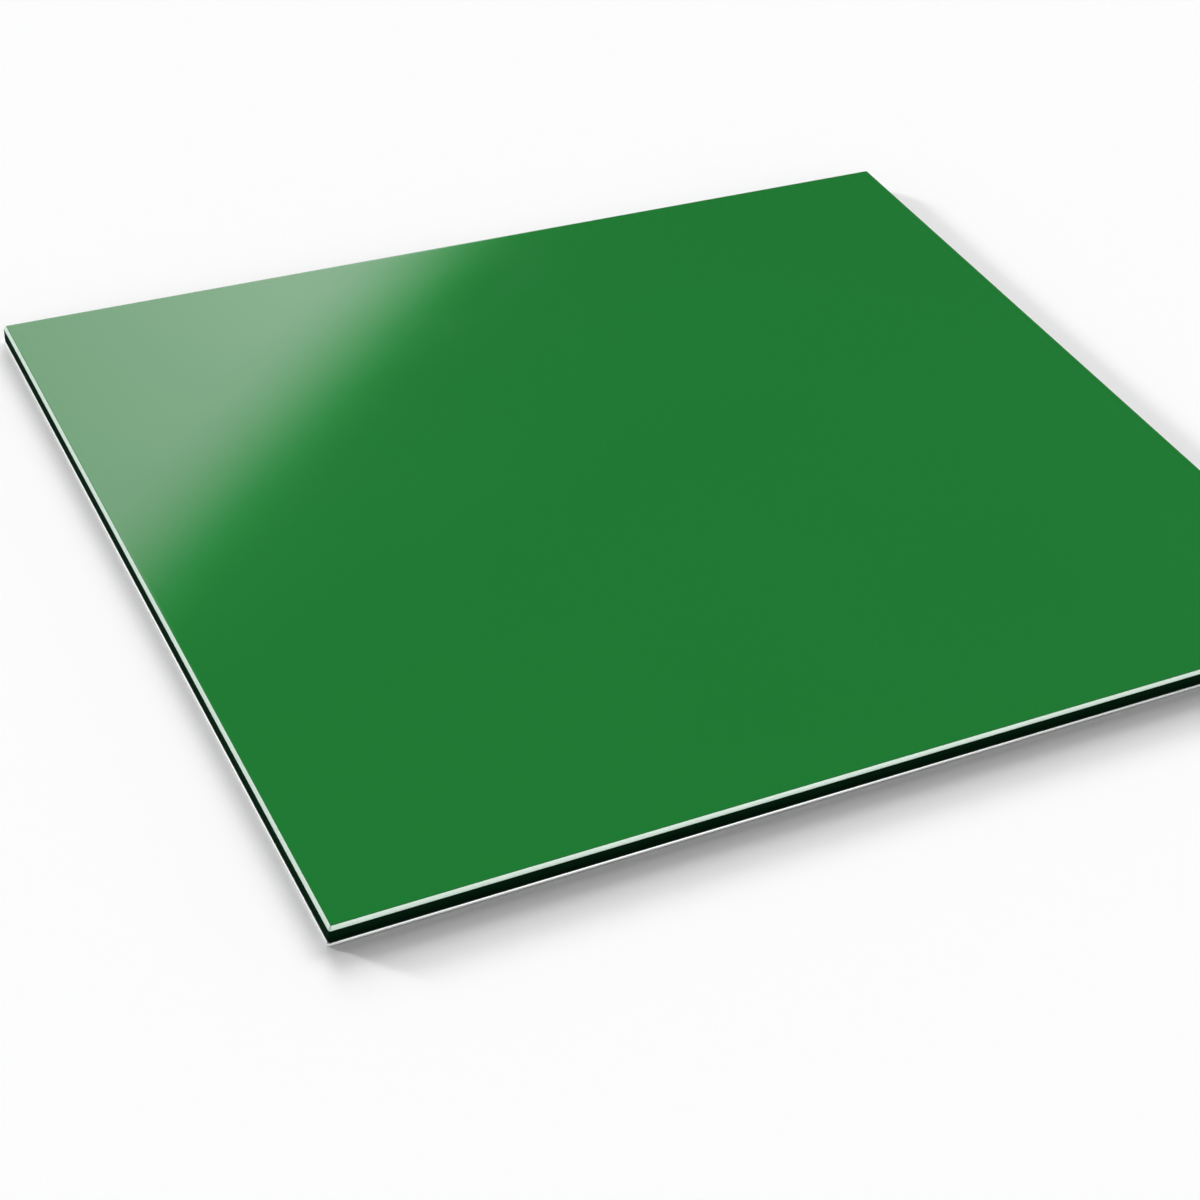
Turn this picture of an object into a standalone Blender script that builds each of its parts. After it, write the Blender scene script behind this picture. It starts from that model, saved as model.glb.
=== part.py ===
"""Aluminium composite panel: two thin aluminium skins bonded to a black polyethylene core.

Metres, +Z up. The panel lies flat on its back skin with the painted face up. The origin is the
middle of its underside, +X runs along the longer side and +Y along the shorter one.

Each layer is a loft round the same sawn outline. Its section is a list of (out, height) points,
from its underside up: how far the edge stands out from the outline, and at what height. Layers
that meet share the same height, so they lie face to face.
"""

import math

import bmesh
import bpy

MM = 0.001

# Sawn outline, which the edge of the core follows
PANEL_LENGTH = 156.0 * MM
PANEL_WIDTH = 136.0 * MM
SAWN_CORNER_RADIUS = 0.30 * MM
CORNER_STEPS = 4

# Thickness of each layer, 3 mm in all with a film on both sides of the core
FACE_SKIN_THICKNESS = 0.55 * MM
BOND_FILM_THICKNESS = 0.05 * MM
CORE_THICKNESS = 1.80 * MM
BACK_SKIN_THICKNESS = 0.55 * MM

# Edge of the face skin: an upright land, then a bevel of bare metal up to the paint line
FACE_LAND = 0.05 * MM
FACE_BEVEL_WIDTH = 0.34 * MM
PAINT_LINE_RADIUS = 0.20 * MM
PAINT_CORNER_RADIUS = 0.15 * MM

# Edge of the back skin: a nose that stands proud of the core. It is chamfered above, and below
# it rolls up from the floor, as the edge of a sheared sheet does.
BACK_LEDGE = 0.20 * MM
LEDGE_CHAMFER = 0.12 * MM
ROLLOVER_REACH = 0.30 * MM
ROLLOVER_RISE = 0.13 * MM
ROLLOVER_RADIUS = 0.50 * MM
NOSE_RADIUS = 0.06 * MM

ARC_STEP = math.radians(15)
LEAST_FLAT_SHARE = 0.1
SMOOTH_BELOW = math.radians(35)

# Colours in the linear values that the shader takes
GREEN_COAT = (0.0152, 0.1912, 0.0356)
BARE_ALUMINIUM = (0.72, 0.74, 0.73)
BLACK_POLYETHYLENE = (0.004, 0.007, 0.005)
CLEAR_ADHESIVE = (0.06, 0.06, 0.055)


def main():
    clear_objects()
    panel = bpy.data.objects.new("panel", None)
    bpy.context.collection.objects.link(panel)

    back_top = BACK_SKIN_THICKNESS
    core_base = back_top + BOND_FILM_THICKNESS
    core_top = core_base + CORE_THICKNESS
    face_base = core_top + BOND_FILM_THICKNESS
    face_top = face_base + FACE_SKIN_THICKNESS

    aluminium = make_material("bare_aluminium", BARE_ALUMINIUM, roughness=0.35, metallic=0.9)
    adhesive = make_material("clear_adhesive", CLEAR_ADHESIVE, roughness=0.3, metallic=0.0)
    polyethylene = make_material("black_polyethylene", BLACK_POLYETHYLENE, roughness=0.6, metallic=0.0)
    coat = make_material("green_coat", GREEN_COAT, roughness=0.12, metallic=0.0)

    make_layer("back_skin", back_skin_section(0.0, back_top), aluminium, panel)
    make_layer("back_bond_film", upright_section(back_top, core_base), adhesive, panel)
    make_layer("core", upright_section(core_base, core_top), polyethylene, panel)
    make_layer("face_bond_film", upright_section(core_top, face_base), adhesive, panel)
    make_layer("face_skin", face_skin_section(face_base, face_top), coat, panel)


def clear_objects():
    for thing in list(bpy.data.objects):
        bpy.data.objects.remove(thing, do_unlink=True)


def make_material(name, colour, roughness, metallic):
    material = bpy.data.materials.new(name)
    material.use_nodes = True
    shader = material.node_tree.nodes["Principled BSDF"]
    shader.inputs["Base Color"].default_value = (*colour, 1.0)
    shader.inputs["Roughness"].default_value = roughness
    shader.inputs["Metallic"].default_value = metallic
    return material


def upright_section(base, top):
    """Core and films are cut square along the outline."""
    return [(0.0, base), (0.0, top)]


def face_skin_section(base, top):
    """The land stands on the outline, and the bevel leans in from it to the rounded paint line.

    The last corner only says which way the face runs. The loft closes the face by itself.
    """
    middle_of_face = (-PANEL_WIDTH / 2, top, 0.0)
    section = rounded_section([
        (0.0, base, 0.0),
        (0.0, base + FACE_LAND, 0.0),
        (-FACE_BEVEL_WIDTH, top, PAINT_LINE_RADIUS),
        middle_of_face,
    ])
    return section[:-1]


def back_skin_section(base, top):
    """The underside rolls up to the nose, and the chamfer and the ledge run back to the core.

    The first corner only says which way the underside runs.
    """
    middle_of_underside = (-PANEL_WIDTH / 2, base, 0.0)
    section = rounded_section([
        middle_of_underside,
        (BACK_LEDGE - ROLLOVER_REACH, base, ROLLOVER_RADIUS),
        (BACK_LEDGE, base + ROLLOVER_RISE, NOSE_RADIUS),
        (BACK_LEDGE, top - LEDGE_CHAMFER, NOSE_RADIUS),
        (BACK_LEDGE - LEDGE_CHAMFER, top, NOSE_RADIUS),
        (0.0, top, 0.0),
    ])
    return section[1:]


def rounded_section(corners):
    """Points of a section whose corners, given as (out, height, radius), turn left and are rounded.

    Where a side is too short for the arcs at its ends, both give way, so that some of it stays flat.
    """
    headings = []
    for near, far in zip(corners, corners[1:]):
        headings.append(math.atan2(far[1] - near[1], far[0] - near[0]))
    half_turns = [0.0]
    for heading_in, heading_out in zip(headings, headings[1:]):
        half_turns.append((heading_out - heading_in) / 2)
    half_turns.append(0.0)
    wanted = [corner[2] * math.tan(half_turn) for corner, half_turn in zip(corners, half_turns)]
    reaches = list(wanted)
    for side in range(len(corners) - 1):
        room = math.dist(corners[side][:2], corners[side + 1][:2]) * (1 - LEAST_FLAT_SHARE)
        needed = wanted[side] + wanted[side + 1]
        if needed > room:
            for end in (side, side + 1):
                reaches[end] = min(reaches[end], wanted[end] * room / needed)

    points = [corners[0][:2]]
    for index in range(1, len(corners) - 1):
        if reaches[index] > 0:
            points += corner_arc(corners[index], reaches[index], headings[index - 1], half_turns[index])
        else:
            points.append(corners[index][:2])
    points.append(corners[-1][:2])
    return points


def corner_arc(corner, reach, heading_in, half_turn):
    """Arc to the left that begins and ends at `reach` from the corner."""
    radius = reach / math.tan(half_turn)
    centre_out = corner[0] - reach * math.cos(heading_in) - radius * math.sin(heading_in)
    centre_height = corner[1] - reach * math.sin(heading_in) + radius * math.cos(heading_in)
    steps = math.ceil(2 * half_turn / ARC_STEP)
    arc = []
    for step in range(steps + 1):
        heading = heading_in + 2 * half_turn * step / steps
        arc.append((centre_out + radius * math.sin(heading), centre_height - radius * math.cos(heading)))
    return arc


def corner_radius(out):
    """Radius of the panel's four corners where the edge stands out from the outline by `out`.

    The nose of the back skin shares its centre with the sawn corner. Up the bevel the radius
    shrinks evenly, from that of the sawn corner to that of the paint line.
    """
    if out > 0:
        return SAWN_CORNER_RADIUS + out
    return SAWN_CORNER_RADIUS + (SAWN_CORNER_RADIUS - PAINT_CORNER_RADIUS) * out / FACE_BEVEL_WIDTH


def outline_ring(mesh, out, height):
    """Vertices round the outline, moved out by `out`, counterclockwise as seen from above."""
    radius = corner_radius(out)
    centre_x = PANEL_LENGTH / 2 + out - radius
    centre_y = PANEL_WIDTH / 2 + out - radius
    corners = [(centre_x, centre_y), (-centre_x, centre_y), (-centre_x, -centre_y), (centre_x, -centre_y)]
    ring = []
    for quarter, (x, y) in enumerate(corners):
        for step in range(CORNER_STEPS + 1):
            angle = math.pi / 2 * (quarter + step / CORNER_STEPS)
            place = (x + radius * math.cos(angle), y + radius * math.sin(angle), height)
            ring.append(mesh.verts.new(place))
    return ring


def make_layer(name, section, material, panel):
    """Loft the section round the outline, and close it below and above."""
    mesh = bmesh.new()
    rings = [outline_ring(mesh, out, height) for out, height in section]
    for lower, upper in zip(rings, rings[1:]):
        for near in range(len(lower)):
            far = (near + 1) % len(lower)
            mesh.faces.new((lower[near], lower[far], upper[far], upper[near]))
    mesh.faces.new(reversed(rings[0]))
    mesh.faces.new(rings[-1])

    data = bpy.data.meshes.new(name)
    mesh.to_mesh(data)
    mesh.free()
    data.shade_smooth()
    data.set_sharp_from_angle(angle=SMOOTH_BELOW)
    data.materials.append(material)

    layer = bpy.data.objects.new(name, data)
    bpy.context.collection.objects.link(layer)
    layer.parent = panel
    return layer


main()
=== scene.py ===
"""Looks of the aluminium composite panel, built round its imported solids.

The two skins and the core are finer meshes that stand for their solids and keep their form: one
section is lofted round the sawn outline, as in the solids. The two bonding films keep their solids.
Metres, +Z up, with the origin in the middle of the underside.
"""

import math

import bmesh
import bpy
from mathutils import Matrix, Vector, noise


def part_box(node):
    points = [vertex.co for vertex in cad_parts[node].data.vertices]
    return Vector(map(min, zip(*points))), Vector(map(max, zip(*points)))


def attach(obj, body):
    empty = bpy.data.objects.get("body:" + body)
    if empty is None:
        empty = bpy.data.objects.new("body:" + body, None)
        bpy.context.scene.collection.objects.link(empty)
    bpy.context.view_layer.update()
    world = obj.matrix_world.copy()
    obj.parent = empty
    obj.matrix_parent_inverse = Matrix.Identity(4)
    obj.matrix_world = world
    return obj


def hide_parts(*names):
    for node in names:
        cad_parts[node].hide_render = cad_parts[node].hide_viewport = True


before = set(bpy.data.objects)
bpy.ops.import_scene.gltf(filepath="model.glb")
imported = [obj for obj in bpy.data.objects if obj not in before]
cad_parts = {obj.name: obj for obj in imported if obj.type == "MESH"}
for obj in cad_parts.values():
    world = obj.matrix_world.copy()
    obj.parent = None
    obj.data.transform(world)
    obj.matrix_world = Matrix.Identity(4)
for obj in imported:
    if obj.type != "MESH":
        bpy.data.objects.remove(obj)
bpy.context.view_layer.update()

MM = 0.001

# Sizes that the solids share, taken from their boxes
back_low, back_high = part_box("back_skin")
core_low, core_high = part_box("core")
face_low, face_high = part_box("face_skin")
BACK_LEDGE = back_high.x - core_high.x

# Edge of the face skin: an upright land, then a bevel up to the paint line
FACE_LAND = 0.05 * MM
FACE_BEVEL_WIDTH = 0.34 * MM
PAINT_LINE_RADIUS = 0.20 * MM
COAT_THICKNESS = 0.03 * MM

# Edge of the back skin: a nose that is chamfered above and rolls up from the floor below
LEDGE_CHAMFER = 0.12 * MM
ROLLOVER_REACH = 0.30 * MM
ROLLOVER_RISE = 0.13 * MM
ROLLOVER_RADIUS = 0.50 * MM
NOSE_RADIUS = 0.06 * MM

# Corners of the panel
SAWN_CORNER_RADIUS = 0.30 * MM
PAINT_CORNER_RADIUS = 0.15 * MM

# Fineness of the meshes
CORNER_STEPS = 12
ARC_STEP = math.radians(5)
SKIN_CELL = 2.0 * MM
CORE_CELL = 0.40 * MM
CORE_ROWS = 12
SMOOTH_BELOW = math.radians(35)
MERGE_DISTANCE = 0.001 * MM

# How far the sheet and the saw cut stray from plane, always towards the inside
FACE_WAVE_DEPTH = 0.006 * MM
FACE_WAVE_LENGTH = 34.0 * MM
FACE_WAVE_MARGIN = 6.0 * MM
SAW_MARK_DEPTH = 0.018 * MM
SAW_MARK_LENGTH = 1.1 * MM
SAW_MARK_HEIGHT = 4.4 * MM
SAW_MARK_SLANT = 0.2
SAW_MARK_EASE_POWER = 6

# Most values of a noise texture lie in this span, which is spread over the range of a finish
NOISE_SPAN = (0.3, 0.7)

# Finishes: the two tones between which each surface varies, its span of roughness, and the depth
# of the marks on it
COAT_TONES = (0.0120, 0.1925, 0.0315), (0.0136, 0.1985, 0.0340)
COAT_SHEEN = (0.89, 1.0, 0.93)
COAT_ROUGHNESS = (0.062, 0.076)
PEEL_DEPTH = 0.0004 * MM
CUT_METALLIC = 0.85
CUT_MARK_DEPTH = 0.002 * MM
MILL_TONES = (0.70, 0.72, 0.71), (0.78, 0.80, 0.79)
MILL_METALLIC = 0.95
MILL_ROUGHNESS = (0.28, 0.42)
MILL_LINE_DEPTH = 0.001 * MM
CORE_ROUGHNESS = (0.50, 0.68)
CORE_GLOSS = 0.001
CORE_MARK_DEPTH = 0.004 * MM
FILM_TONES = (0.008, 0.016, 0.010), (0.020, 0.032, 0.022)
FILM_ROUGHNESS = (0.30, 0.45)
FILM_GLOSS = 0.15

# The cut edge changes by height: a painted highlight on the brow of the bevel, the core darker in
# its lower half, a smooth ledge painted paler than the rougher face of the nose as a highlight, and
# a painted contact shadow at the foot of the nose. Only the front edge has the painted contact shadow.
SLOPE_TONES = (0.60, 0.73, 0.64), (0.67, 0.80, 0.71)
BROW_HIGHLIGHT_TONES = (0.80, 0.93, 0.84), (0.86, 0.98, 0.90)
BROW_HIGHLIGHT_FADE = (0.16 * MM, 0.16 * MM / 3)
BEVEL_ROUGHNESS = (0.26, 0.36)
CORE_LOWER_TONES = (0.0009, 0.0056, 0.0024), (0.0022, 0.0134, 0.0055)
CORE_UPPER_TONES = (0.0014, 0.0088, 0.0037), (0.0034, 0.0205, 0.0084)
CORE_TONE_FADE = 0.5 * MM
LEDGE_HIGHLIGHT_TONES = (0.95, 0.97, 0.96), (0.98, 0.99, 0.985)
LEDGE_FADE = (1.3 * LEDGE_CHAMFER, 0.7 * LEDGE_CHAMFER)
NOSE_TONES = (0.89, 0.91, 0.90), (0.95, 0.97, 0.96)
NOSE_ROUGHNESS = (0.18, 0.26)
NOSE_FACE_ROUGHER = 0.50
FOOT_SHADOW_TONES = (0.010, 0.010, 0.010), (0.025, 0.025, 0.025)
FOOT_SHADOW_HEIGHT = 0.195 * MM
FOOT_SHADOW_FADE = 0.02 * MM

# Camera, worked out from the corners of the green face
CAMERA_AZIMUTH = math.radians(-30.06)
CAMERA_ELEVATION = math.radians(38.55)
CAMERA_ROLL = math.radians(5.80)
CAMERA_DISTANCE = 325.9 * MM
CAMERA_AIM = Vector((-21.8, -25.1, 3.0)) * MM
CAMERA_LENS = 71.82
CAMERA_SENSOR = 36.0

FLOOR_SIZE = 12.0
FLOOR_WHITE = (0.965, 0.965, 0.965)

# Light of the world, by direction: white at the horizon, dark above it, and soft lights. Each soft
# light has the azimuth and elevation of its middle, the angles from it at which the light begins
# and ends to fade, both in degrees, and its strength.
DARK_CEILING = 0.05
HORIZON_WHITE = 0.975
HORIZON_FADE = (math.radians(13.0), math.radians(20.0))
SOFT_LIGHTS = {
    "front_light": ((28.0, 23.0), (6.0, 22.0), 0.85),
    "middle_light": ((-2.0, 27.0), (6.0, 22.0), 0.75),
    "corner_light": ((-32.0, 28.0), (6.0, 22.0), 0.75),
    "left_light": ((-62.0, 24.0), (6.0, 22.0), 0.75),
    "high_front_light": ((32.0, 44.0), (6.0, 14.0), 1.25),
    "side_light": ((223.0, 21.0), (3.0, 11.0), 1.1),
}

# Softbox that the face mirrors at its back left corner, cut off along one slanting edge. It is
# brighter and sharper at the lower end of that edge, and dims away from the edge. In each colour,
# the fade across the edge has its half width at the lower and at the upper end, and how far it
# lies outside the edge, all in degrees.
SOFTBOX_MIDDLE = (172.0, 30.0)
SOFTBOX_FADE = (16.0, 26.0)
SOFTBOX_EDGE_LOWER = (155.3, 30.0)
SOFTBOX_EDGE_UPPER = (166.3, 40.0)
SOFTBOX_LEVELS = (3.55, 2.85)
SOFTBOX_EDGE_FADES = {
    "Red": (1.30, 1.15, -0.05),
    "Green": (1.55, 1.90, 0.30),
    "Blue": (1.35, 1.35, 0.0),
}
SOFTBOX_DIM_ANGLE = math.radians(20.0)
SOFTBOX_DIM_SHARE = 0.75

# Suns behind the panel, which aren't mirrored: azimuth and elevation, width, all in degrees, and
# how much light each gives a level surface
SUNS = {
    "key_light": ((166.3, 27.6), 27.5, 0.325),
    "fill_light": ((119.7, 36.0), 25.7, 0.165),
    "low_light": ((221.1, 14.2), 8.0, 0.175),
}


def main():
    bpy.context.scene.view_settings.view_transform = "Standard"
    add_camera()
    add_floor()
    light_world()
    add_suns()

    coat = green_coat()
    bevel_metal = bevel_aluminium()
    nose_metal = nose_aluminium()
    rolled_metal = rolled_aluminium()
    polyethylene = black_polyethylene()
    adhesive = clear_adhesive()

    make_face_skin(coat, bevel_metal)
    make_core(polyethylene)
    make_back_skin(nose_metal, rolled_metal)
    for node in ("face_bond_film", "back_bond_film"):
        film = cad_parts[node]
        film.material_slots[0].link = "OBJECT"
        film.material_slots[0].material = adhesive


def direction(azimuth, elevation):
    """Points away from the panel. Azimuth 0 is the front, -Y, and a quarter turn is +X."""
    level = math.cos(elevation)
    return Vector((math.sin(azimuth) * level, -math.cos(azimuth) * level, math.sin(elevation)))


def in_degrees(azimuth, elevation):
    return direction(math.radians(azimuth), math.radians(elevation))


def add_camera():
    data = bpy.data.cameras.new("camera")
    data.lens = CAMERA_LENS
    data.sensor_width = CAMERA_SENSOR
    data.clip_start = 0.01
    camera = bpy.data.objects.new("camera", data)
    bpy.context.scene.collection.objects.link(camera)
    turn = Matrix.Rotation(CAMERA_AZIMUTH, 4, "Z")
    tilt = Matrix.Rotation(math.pi / 2 - CAMERA_ELEVATION, 4, "X")
    roll = Matrix.Rotation(CAMERA_ROLL, 4, "Z")
    place = CAMERA_AIM + CAMERA_DISTANCE * direction(CAMERA_AZIMUTH, CAMERA_ELEVATION)
    camera.matrix_world = Matrix.Translation(place) @ turn @ tilt @ roll
    bpy.context.scene.camera = camera


# Shader nodes

def new_tree(name):
    material = bpy.data.materials.new(name)
    material.use_nodes = True
    tree = material.node_tree
    return material, tree, tree.nodes["Principled BSDF"]


def add_node(tree, kind, inputs=None, **settings):
    """A node with its settings, and its inputs as values or as the sockets that feed them."""
    node = tree.nodes.new(kind)
    for name, value in settings.items():
        setattr(node, name, value)
    for name, value in (inputs or {}).items():
        socket = node.inputs[name]
        if isinstance(value, bpy.types.NodeSocket):
            tree.links.new(value, socket)
        else:
            socket.default_value = value
    return node


def set_inputs(node, **values):
    """Sets inputs by name, with an underscore for each space in it."""
    for name, value in values.items():
        node.inputs[name.replace("_", " ")].default_value = value


def stretched_noise(tree, place, stretch, scale, detail=3.0):
    """Noise over the coordinates in `place`, in metres, stretched by `stretch`."""
    mapping = add_node(tree, "ShaderNodeMapping", {"Vector": place, "Scale": stretch})
    texture = add_node(
        tree,
        "ShaderNodeTexNoise",
        {"Vector": mapping.outputs["Vector"], "Scale": scale, "Detail": detail},
    )
    return texture.outputs["Fac"]


def ranged(tree, value, from_low, from_high, to_low, to_high, kind="LINEAR"):
    mapped = add_node(
        tree,
        "ShaderNodeMapRange",
        {
            "Value": value,
            "From Min": from_low,
            "From Max": from_high,
            "To Min": to_low,
            "To Max": to_high,
        },
        interpolation_type=kind,
    )
    return mapped.outputs["Result"]


def mixed_colour(tree, factor, first, second):
    """Mix of two colours, each given as values or as the socket that feeds it."""
    mix = add_node(tree, "ShaderNodeMix", data_type="RGBA")
    tree.links.new(factor, mix.inputs["Factor"])
    for socket, colour in ((mix.inputs[6], first), (mix.inputs[7], second)):
        if isinstance(colour, bpy.types.NodeSocket):
            tree.links.new(colour, socket)
        else:
            socket.default_value = (*colour, 1.0)
    return mix.outputs[2]


def product(tree, first, second):
    return add_node(tree, "ShaderNodeMath", {0: first, 1: second}, operation="MULTIPLY").outputs[0]


def total(tree, first, second):
    return add_node(tree, "ShaderNodeMath", {0: first, 1: second}, operation="ADD").outputs[0]


def stage_along(tree, axis, start, end):
    """Rises smoothly from 0 to 1 between two places on an axis of the panel."""
    place = add_node(tree, "ShaderNodeTexCoord").outputs["Object"]
    along = add_node(tree, "ShaderNodeSeparateXYZ", {"Vector": place}).outputs[axis]
    return ranged(tree, along, start, end, 0.0, 1.0, "SMOOTHSTEP")


def add_bump(tree, shader, height, distance):
    bump = add_node(tree, "ShaderNodeBump", {"Height": height, "Distance": distance, "Strength": 1.0})
    tree.links.new(bump.outputs["Normal"], shader.inputs["Normal"])


def green_coat():
    """Gloss coil coating, with the faint orange peel that a roller leaves."""
    material, tree, shader = new_tree("green_coat")
    place = add_node(tree, "ShaderNodeTexCoord").outputs["Object"]
    cloud = stretched_noise(tree, place, (1.0, 1.0, 1.0), 22.0, detail=2.0)
    tree.links.new(mixed_colour(tree, cloud, *COAT_TONES), shader.inputs["Base Color"])
    haze = stretched_noise(tree, place, (1.0, 2.5, 1.0), 60.0)
    tree.links.new(ranged(tree, haze, *NOISE_SPAN, *COAT_ROUGHNESS), shader.inputs["Roughness"])
    peel = stretched_noise(tree, place, (1.0, 1.0, 1.0), 900.0, detail=1.5)
    add_bump(tree, shader, peel, PEEL_DEPTH)
    set_inputs(shader, IOR=1.5, Specular_Tint=(*COAT_SHEEN, 1.0))
    return material


def cut_aluminium(name, roughness):
    """Bare metal of a cut edge, with fine marks that run along it.

    It also gives back its roughness, which isn't linked yet, and blotches for its colour.
    """
    material, tree, shader = new_tree(name)
    run = add_node(tree, "ShaderNodeUVMap", uv_map="edge_run").outputs["UV"]
    marks = stretched_noise(tree, run, (0.06, 1.0, 1.0), 16000.0, detail=2.0)
    blotches = stretched_noise(tree, run, (1.0, 3.0, 1.0), 160.0)
    polish = ranged(tree, marks, *NOISE_SPAN, *roughness)
    add_bump(tree, shader, marks, CUT_MARK_DEPTH)
    set_inputs(shader, Metallic=CUT_METALLIC)
    return material, tree, shader, polish, blotches


def bevel_aluminium():
    """Bare bevel of the face skin, with a painted highlight on the brow where it turns over into the
    face.
    """
    material, tree, shader, polish, blotches = cut_aluminium("bevel_aluminium", BEVEL_ROUGHNESS)
    slope = mixed_colour(tree, blotches, *SLOPE_TONES)
    # The brow is painted paler than the slope, as a highlight where the bevel turns into the face
    brow_highlight = mixed_colour(tree, blotches, *BROW_HIGHLIGHT_TONES)
    turn = stage_along(tree, "Z", *(face_high.z - depth for depth in BROW_HIGHLIGHT_FADE))
    tree.links.new(mixed_colour(tree, turn, slope, brow_highlight), shader.inputs["Base Color"])
    tree.links.new(polish, shader.inputs["Roughness"])
    return material


def nose_aluminium():
    """Bare edge of the back skin: a ledge painted bright as a highlight over a duller nose, with a
    painted contact shadow at the foot in front.
    """
    material, tree, shader, polish, blotches = cut_aluminium("nose_aluminium", NOSE_ROUGHNESS)
    nose = mixed_colour(tree, blotches, *NOSE_TONES)
    # The ledge is painted paler than the nose as a highlight; the same rise also makes it smoother
    ledge_highlight = mixed_colour(tree, blotches, *LEDGE_HIGHLIGHT_TONES)
    # The foot is painted near black along the front edge: a painted contact shadow
    painted_contact_shadow = mixed_colour(tree, blotches, *FOOT_SHADOW_TONES)
    rise = stage_along(tree, "Z", *(back_high.z - depth for depth in LEDGE_FADE))
    # Mask of the painted contact shadow: below the foot height, on the front strip only
    below_shadow_height = stage_along(tree, "Z", FOOT_SHADOW_HEIGHT, FOOT_SHADOW_HEIGHT - FOOT_SHADOW_FADE)
    front_strip = back_low.y + SAWN_CORNER_RADIUS
    front = stage_along(tree, "Y", front_strip + FOOT_SHADOW_FADE, front_strip)
    colour = mixed_colour(tree, rise, nose, ledge_highlight)
    contact_shadow_mask = product(tree, below_shadow_height, front)
    tree.links.new(mixed_colour(tree, contact_shadow_mask, colour, painted_contact_shadow), shader.inputs["Base Color"])
    rougher = ranged(tree, rise, 0.0, 1.0, NOSE_FACE_ROUGHER, 0.0)
    tree.links.new(total(tree, polish, rougher), shader.inputs["Roughness"])
    return material


def rolled_aluminium():
    """Mill finish of the underside, with the faint lines of the rolling mill along X."""
    material, tree, shader = new_tree("rolled_aluminium")
    place = add_node(tree, "ShaderNodeTexCoord").outputs["Object"]
    lines = stretched_noise(tree, place, (0.02, 1.0, 1.0), 3000.0, detail=3.0)
    cloud = stretched_noise(tree, place, (0.4, 1.0, 1.0), 40.0)
    tree.links.new(mixed_colour(tree, cloud, *MILL_TONES), shader.inputs["Base Color"])
    tree.links.new(ranged(tree, lines, *NOISE_SPAN, *MILL_ROUGHNESS), shader.inputs["Roughness"])
    add_bump(tree, shader, lines, MILL_LINE_DEPTH)
    set_inputs(shader, Metallic=MILL_METALLIC)
    return material


def black_polyethylene():
    """Sawn polyethylene: dull black, with upright saw marks and streaks along the extrusion."""
    material, tree, shader = new_tree("black_polyethylene")
    run = add_node(tree, "ShaderNodeUVMap", uv_map="edge_run").outputs["UV"]
    streaks = stretched_noise(tree, run, (0.10, 1.0, 1.0), 1500.0)
    marks = stretched_noise(tree, run, (1.0, 0.15, 1.0), 3500.0, detail=2.0)
    lower = mixed_colour(tree, streaks, *CORE_LOWER_TONES)
    upper = mixed_colour(tree, streaks, *CORE_UPPER_TONES)
    middle = (core_low.z + core_high.z) / 2
    rise = stage_along(tree, "Z", middle - CORE_TONE_FADE, middle + CORE_TONE_FADE)
    tree.links.new(mixed_colour(tree, rise, lower, upper), shader.inputs["Base Color"])
    tree.links.new(ranged(tree, marks, *NOISE_SPAN, *CORE_ROUGHNESS), shader.inputs["Roughness"])
    add_bump(tree, shader, marks, CORE_MARK_DEPTH)
    set_inputs(shader, Specular_IOR_Level=CORE_GLOSS)
    return material


def clear_adhesive():
    """Edge of a bonding film: clear adhesive that takes the dark of the core."""
    material, tree, shader = new_tree("clear_adhesive")
    place = add_node(tree, "ShaderNodeTexCoord").outputs["Object"]
    cloud = stretched_noise(tree, place, (1.0, 1.0, 1.0), 900.0)
    tree.links.new(mixed_colour(tree, cloud, *FILM_TONES), shader.inputs["Base Color"])
    tree.links.new(ranged(tree, cloud, *NOISE_SPAN, *FILM_ROUGHNESS), shader.inputs["Roughness"])
    set_inputs(shader, Specular_IOR_Level=FILM_GLOSS)
    return material


# Meshes

def corner_radius(out):
    """Radius of the panel's corners where the edge stands out from the outline by `out`."""
    if out > 0:
        return SAWN_CORNER_RADIUS + out
    return SAWN_CORNER_RADIUS + (SAWN_CORNER_RADIUS - PAINT_CORNER_RADIUS) * out / FACE_BEVEL_WIDTH


def outline_columns(cell):
    """Places round the outline, counterclockwise from above, and the whole run round it.

    Each place is the quarter that it belongs to, its angle in the corner, its share of the straight
    side that follows, and its run along the sawn outline.
    """
    quarter_arc = SAWN_CORNER_RADIUS * math.pi / 2
    columns = []
    run = 0.0
    for quarter in range(4):
        for step in range(CORNER_STEPS + 1):
            share = step / CORNER_STEPS
            columns.append((quarter, math.pi / 2 * (quarter + share), 0.0, run + quarter_arc * share))
        run += quarter_arc
        corner = core_high.x if quarter % 2 == 0 else core_high.y
        side = 2 * (corner - SAWN_CORNER_RADIUS)
        cells = round(side / cell)
        for step in range(1, cells):
            share = step / cells
            columns.append((quarter, math.pi / 2 * (quarter + 1), share, run + side * share))
        run += side
    return columns, run


def outline_place(column, out, depth):
    """The column's point where the edge stands out by `out`, sunk into the panel by `depth`."""
    quarter, angle, share, _ = column
    radius = corner_radius(out)
    centre_x = core_high.x + out - radius
    centre_y = core_high.y + out - radius
    signs = ((1, 1), (-1, 1), (-1, -1), (1, -1))
    near, far = signs[quarter], signs[(quarter + 1) % 4]
    centre = Vector((near[0] * centre_x, near[1] * centre_y))
    next_centre = Vector((far[0] * centre_x, far[1] * centre_y))
    outward = Vector((math.cos(angle), math.sin(angle)))
    return centre.lerp(next_centre, share) + (radius - depth) * outward


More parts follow.
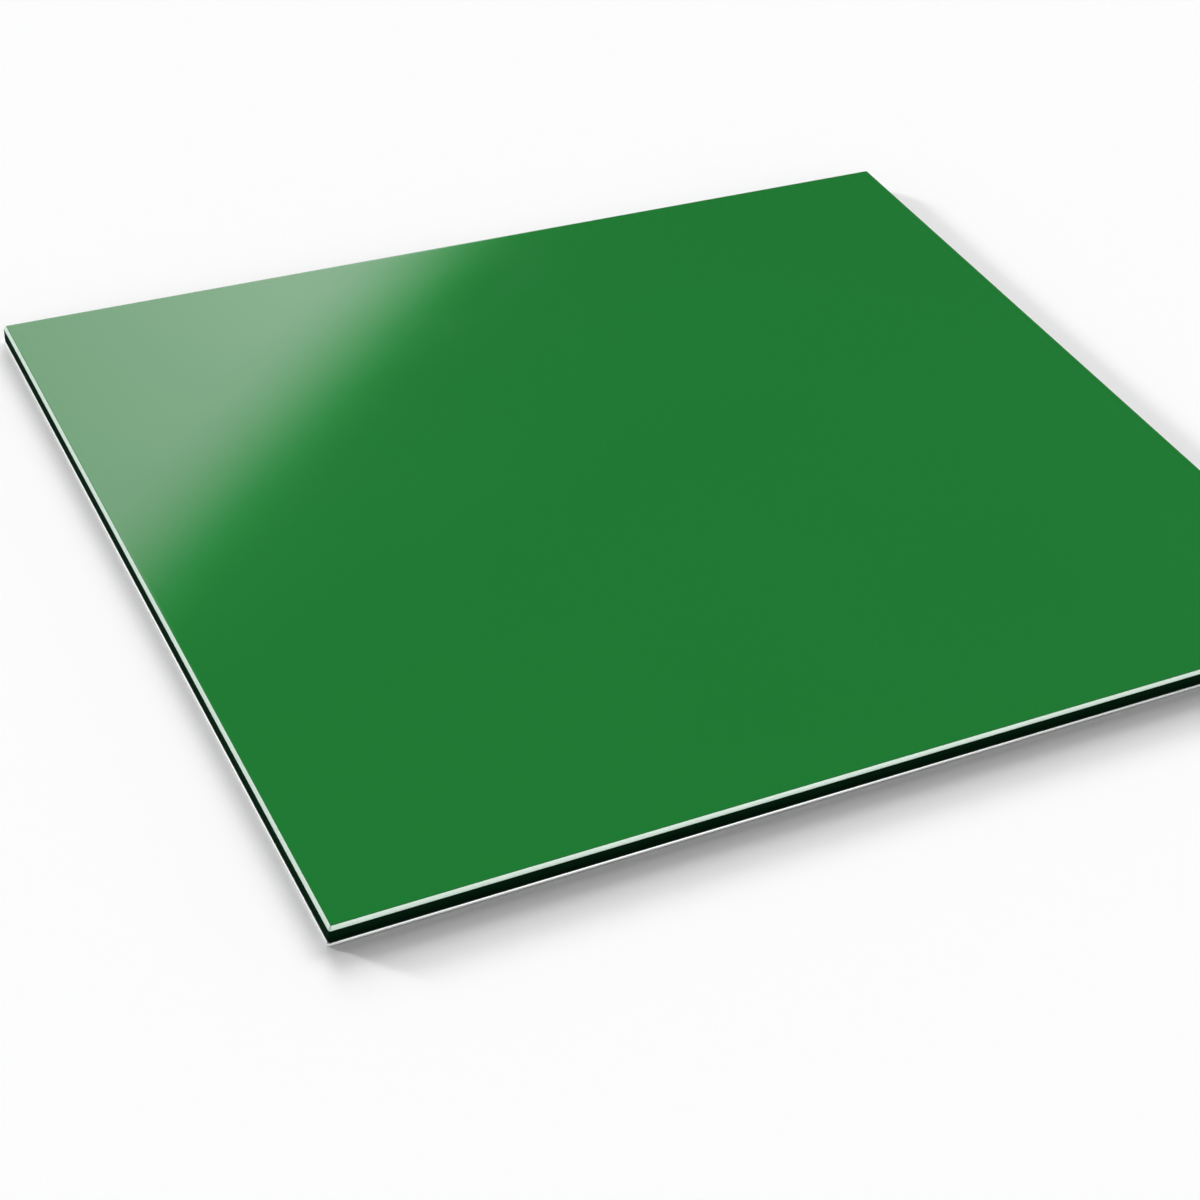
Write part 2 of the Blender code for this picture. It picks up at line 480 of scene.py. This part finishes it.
def rounded_section(corners):
    """Points of a section whose corners, given as (out, height, radius), turn left and are rounded."""
    headings = []
    for near, far in zip(corners, corners[1:]):
        headings.append(math.atan2(far[1] - near[1], far[0] - near[0]))
    points = [corners[0][:2]]
    for index in range(1, len(corners) - 1):
        out, height, radius = corners[index]
        heading_in = headings[index - 1]
        half_turn = (headings[index] - heading_in) / 2
        reach = radius * math.tan(half_turn)
        centre_out = out - reach * math.cos(heading_in) - radius * math.sin(heading_in)
        centre_height = height - reach * math.sin(heading_in) + radius * math.cos(heading_in)
        steps = math.ceil(2 * half_turn / ARC_STEP) if radius > 0 else 0
        for step in range(steps + 1):
            heading = heading_in + 2 * half_turn * step / max(steps, 1)
            points.append((
                centre_out + radius * math.sin(heading),
                centre_height - radius * math.cos(heading),
            ))
    points.append(corners[-1][:2])
    return points


def loft(mesh, columns, whole_run, section, sunk=None):
    """Rings of vertices along the section, and the faces between them, with their run as UV map."""
    run_map = mesh.loops.layers.uv.new("edge_run")
    rings = []
    for out, height in section:
        ring = []
        for column in columns:
            depth = sunk(column[-1], height) if sunk else 0.0
            place = outline_place(column, out, depth)
            ring.append(mesh.verts.new((place.x, place.y, height)))
        rings.append(ring)
    climbed = 0.0
    for row, (lower, upper) in enumerate(zip(rings, rings[1:])):
        step_up = math.dist(section[row], section[row + 1])
        for near in range(len(columns)):
            far = (near + 1) % len(columns)
            face = mesh.faces.new((lower[near], lower[far], upper[far], upper[near]))
            near_run = columns[near][-1]
            far_run = columns[far][-1] if far else whole_run
            corners = (
                (near_run, climbed),
                (far_run, climbed),
                (far_run, climbed + step_up),
                (near_run, climbed + step_up),
            )
            for loop, corner in zip(face.loops, corners):
                loop[run_map].uv = corner
        climbed += step_up
    return rings


def finish_piece(name, mesh, materials, node):
    """The mesh as a smooth piece that stands for its solid."""
    data = bpy.data.meshes.new(name)
    mesh.to_mesh(data)
    mesh.free()
    data.shade_smooth()
    data.set_sharp_from_angle(angle=SMOOTH_BELOW)
    for material in materials:
        data.materials.append(material)
    piece = bpy.data.objects.new(name, data)
    bpy.context.scene.collection.objects.link(piece)
    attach(piece, "root")
    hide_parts(node)


def face_wave(x, y):
    """How far the face lies below its plane, as coil-coated sheet is never quite flat."""
    inside = min(face_high.x - abs(x), face_high.y - abs(y))
    rise = min(max(inside / FACE_WAVE_MARGIN, 0.0), 1.0)
    ease = rise * rise * (3 - 2 * rise)
    wave = noise.noise(Vector((x, y, 0.0)) / FACE_WAVE_LENGTH)
    return FACE_WAVE_DEPTH * ease * (0.5 + 0.5 * wave)


def make_face_skin(coat, bevel_metal):
    """Bare land and bevel round the edge, and the coated face as a grid of cells inside them."""
    mesh = bmesh.new()
    base, top = face_low.z, face_high.z
    # Here the corners of the rings have shrunk to a point, so that a plain grid fits inside
    square_ring = -FACE_BEVEL_WIDTH * SAWN_CORNER_RADIUS / (SAWN_CORNER_RADIUS - PAINT_CORNER_RADIUS)
    section = rounded_section([
        (0.0, base, 0.0),
        (0.0, base + FACE_LAND, 0.0),
        (-FACE_BEVEL_WIDTH, top, PAINT_LINE_RADIUS),
        (square_ring, top, 0.0),
    ])
    columns, whole_run = outline_columns(SKIN_CELL)
    rings = loft(mesh, columns, whole_run, section)
    mesh.faces.new(reversed(rings[0]))

    half_x = core_high.x + square_ring
    half_y = core_high.y + square_ring
    cells_x = round(2 * half_x / SKIN_CELL)
    cells_y = round(2 * half_y / SKIN_CELL)
    grid = []
    for row in range(cells_y + 1):
        y = half_y * (2 * row / cells_y - 1)
        line = []
        for column in range(cells_x + 1):
            x = half_x * (2 * column / cells_x - 1)
            line.append(mesh.verts.new((x, y, top - face_wave(x, y))))
        grid.append(line)
    for near, far in zip(grid, grid[1:]):
        for column in range(cells_x):
            mesh.faces.new((near[column], near[column + 1], far[column + 1], far[column]))
    bmesh.ops.remove_doubles(mesh, verts=mesh.verts, dist=MERGE_DISTANCE)

    for face in mesh.faces:
        face.material_index = 0 if face.calc_center_median().z > top - COAT_THICKNESS else 1
    finish_piece("face_skin_coated", mesh, (coat, bevel_metal), "face_skin")


def saw_mark(run, height):
    """How deep the saw went into the core at this place. The core keeps its outline at both skins."""
    middle = (core_low.z + core_high.z) / 2
    half = (core_high.z - core_low.z) / 2
    ease = 1 - (abs(height - middle) / half) ** SAW_MARK_EASE_POWER
    slanted = run + SAW_MARK_SLANT * height
    mark = noise.noise(Vector((slanted / SAW_MARK_LENGTH, height / SAW_MARK_HEIGHT, 0.0)))
    return SAW_MARK_DEPTH * ease * (0.5 + 0.5 * mark)


def make_core(polyethylene):
    mesh = bmesh.new()
    base, top = core_low.z, core_high.z
    heights = [base + (top - base) * row / CORE_ROWS for row in range(CORE_ROWS + 1)]
    columns, whole_run = outline_columns(CORE_CELL)
    rings = loft(mesh, columns, whole_run, [(0.0, height) for height in heights], sunk=saw_mark)
    mesh.faces.new(reversed(rings[0]))
    mesh.faces.new(rings[-1])
    finish_piece("core_sawn", mesh, (polyethylene,), "core")


def make_back_skin(nose_metal, rolled_metal):
    """It stands proud of the core in a nose, and rolls up to it from the floor."""
    mesh = bmesh.new()
    base, top = back_low.z, back_high.z
    section = rounded_section([
        (BACK_LEDGE - 2 * ROLLOVER_REACH, base, 0.0),
        (BACK_LEDGE - ROLLOVER_REACH, base, ROLLOVER_RADIUS),
        (BACK_LEDGE, base + ROLLOVER_RISE, NOSE_RADIUS),
        (BACK_LEDGE, top - LEDGE_CHAMFER, NOSE_RADIUS),
        (BACK_LEDGE - LEDGE_CHAMFER, top, NOSE_RADIUS),
        (0.0, top, 0.0),
    ])
    columns, whole_run = outline_columns(SKIN_CELL)
    rings = loft(mesh, columns, whole_run, section)
    mesh.faces.new(rings[-1])
    mesh.faces.new(reversed(rings[0]))
    for face in mesh.faces:
        if face.calc_center_median().z < base + MERGE_DISTANCE:
            face.material_index = 1
    finish_piece(
        "back_skin_edged", mesh, (nose_metal, rolled_metal), "back_skin"
    )


# Floor and light

def add_floor():
    mesh = bmesh.new()
    bmesh.ops.create_grid(mesh, x_segments=4, y_segments=4, size=FLOOR_SIZE / 2)
    data = bpy.data.meshes.new("floor")
    mesh.to_mesh(data)
    mesh.free()
    material, _, shader = new_tree("studio_white")
    set_inputs(shader, Base_Color=(*FLOOR_WHITE, 1.0), Roughness=1.0, Specular_IOR_Level=0.0)
    data.materials.append(material)
    floor = bpy.data.objects.new("floor", data)
    bpy.context.scene.collection.objects.link(floor)


def soft_light(tree, place, middle, fade, strength):
    """Brightness by direction: full within the first angle of `fade`, none past the second."""
    across = along_axis(tree, place, middle)
    full, none = (math.cos(math.radians(angle)) for angle in fade)
    return ranged(tree, across, none, full, 0.0, strength, "SMOOTHSTEP")


def along_axis(tree, place, axis):
    dot = add_node(tree, "ShaderNodeVectorMath", {0: place, 1: axis}, operation="DOT_PRODUCT")
    return dot.outputs["Value"]


def mirrored_softbox(tree, place, lower_fade, upper_fade, outside):
    """Brightness of the softbox in one colour, by its fades across the slanting edge."""
    middle = in_degrees(*SOFTBOX_MIDDLE)
    lower = in_degrees(*SOFTBOX_EDGE_LOWER)
    upper = in_degrees(*SOFTBOX_EDGE_UPPER)
    box = soft_light(tree, place, middle, SOFTBOX_FADE, 1.0)
    inward = lower.cross(upper).normalized()
    if inward.dot(middle) < 0:
        inward = -inward
    edge_length = math.sin(lower.angle(upper))
    up_edge = (upper - lower).normalized()
    start = up_edge.dot(lower)
    along = along_axis(tree, place, up_edge)
    level = ranged(tree, along, start, start + edge_length, *SOFTBOX_LEVELS)
    half_fades = math.radians(lower_fade), math.radians(upper_fade)
    half_fade = ranged(tree, along, start, start + edge_length, *half_fades)
    past_edge = along_axis(tree, place, inward)
    past_middle = total(tree, past_edge, math.radians(outside))
    in_fades = add_node(
        tree, "ShaderNodeMath", {0: past_middle, 1: half_fade}, operation="DIVIDE"
    ).outputs[0]
    cut = ranged(tree, in_fades, -1.0, 1.0, 0.0, 1.0, "SMOOTHSTEP")
    dim = ranged(tree, past_edge, 0.0, math.sin(SOFTBOX_DIM_ANGLE), 1.0, 1.0 - SOFTBOX_DIM_SHARE)
    return product(tree, product(tree, box, cut), product(tree, level, dim))


def light_world():
    world = bpy.data.worlds.new("studio")
    bpy.context.scene.world = world
    world.use_nodes = True
    tree = world.node_tree
    place = add_node(tree, "ShaderNodeTexCoord").outputs["Generated"]
    rise = add_node(tree, "ShaderNodeSeparateXYZ", {"Vector": place}).outputs["Z"]
    fade = (math.sin(angle) for angle in HORIZON_FADE)
    plain = ranged(tree, rise, *fade, HORIZON_WHITE, DARK_CEILING, "SMOOTHSTEP")
    for middle, fade, strength in SOFT_LIGHTS.values():
        plain = total(tree, plain, soft_light(tree, place, in_degrees(*middle), fade, strength))
    colours = {}
    for name, fades in SOFTBOX_EDGE_FADES.items():
        colours[name] = total(tree, plain, mirrored_softbox(tree, place, *fades))
    colour = add_node(tree, "ShaderNodeCombineColor", colours).outputs["Color"]
    tree.links.new(colour, tree.nodes["Background"].inputs["Color"])


def add_suns():
    for name, ((azimuth, elevation), width, level) in SUNS.items():
        data = bpy.data.lights.new(name, "SUN")
        data.energy = level * math.pi / math.sin(math.radians(elevation))
        data.angle = math.radians(width)
        light = bpy.data.objects.new(name, data)
        bpy.context.scene.collection.objects.link(light)
        light.rotation_euler = in_degrees(azimuth, elevation).to_track_quat("Z", "Y").to_euler()
        light.visible_glossy = False


main()
